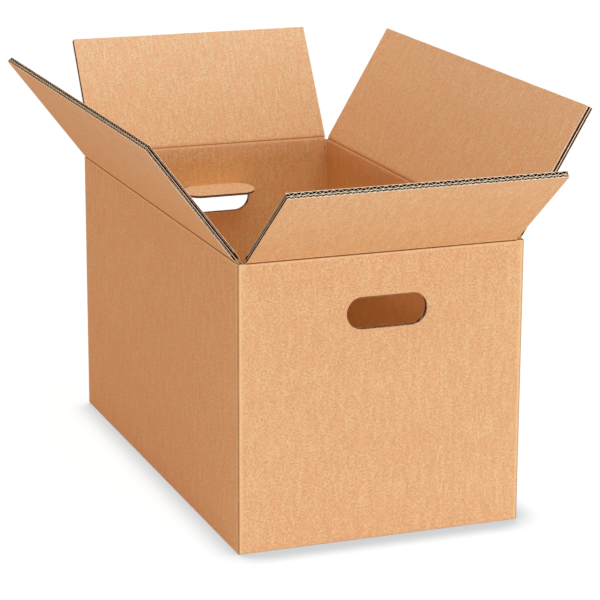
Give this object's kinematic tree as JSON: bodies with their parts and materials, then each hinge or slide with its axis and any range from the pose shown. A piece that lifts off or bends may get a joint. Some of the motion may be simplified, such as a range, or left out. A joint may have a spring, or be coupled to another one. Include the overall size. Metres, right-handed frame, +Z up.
{
  "type": "corrugated box with handholds",
  "caption": "Tall slotted shipping box of double-wall corrugated board, standing open with its top flaps folded out and a push-in handhold in each end.",
  "frame": {"origin": "centre of the box's base, on the floor", "axes": "+Z up, X across the two end panels that have the handholds, Y along the two long side panels; the front end panel faces -Y"},
  "size_m": [0.4888, 0.7543, 0.4463],
  "materials": {
    "kraft_board": "plain brown kraft liner, matt"
  },
  "bodies": {
    "box": {"box_body": "kraft_board"},
    "front_flap": {"front_flap": "kraft_board"},
    "right_flap": {"right_flap": "kraft_board"},
    "back_flap": {"back_flap": "kraft_board"},
    "left_flap": {"left_flap": "kraft_board"},
    "front_tab": {"front_handhold_tab": "kraft_board"},
    "back_tab": {"back_handhold_tab": "kraft_board"}
  },
  "joints": [
    {"name": "front_flap_hinge", "type": "hinge", "parent": "box", "child": "front_flap", "pos_m": [0, -0.27815, 0.30635], "axis": [1, 0, 0], "range_deg": [-142, 128]},
    {"name": "right_flap_hinge", "type": "hinge", "parent": "box", "child": "right_flap", "pos_m": [0.1593, 0, 0.3113], "axis": [0, 1, 0], "range_deg": [-120.5, 149.5]},
    {"name": "back_flap_hinge", "type": "hinge", "parent": "box", "child": "back_flap", "pos_m": [0, 0.27815, 0.30635], "axis": [-1, 0, 0], "range_deg": [-122, 148]},
    {"name": "left_flap_hinge", "type": "hinge", "parent": "box", "child": "left_flap", "pos_m": [-0.1593, 0, 0.3113], "axis": [0, -1, 0], "range_deg": [-127.4, 142.6]},
    {"name": "front_tab_hinge", "type": "hinge", "parent": "box", "child": "front_tab", "pos_m": [0.0045, -0.2729, 0.265], "axis": [1, 0, 0], "range_deg": [-82, 88]},
    {"name": "back_tab_hinge", "type": "hinge", "parent": "box", "child": "back_tab", "pos_m": [0.0045, 0.2729, 0.265], "axis": [-1, 0, 0], "range_deg": [-82, 88]}
  ]
}
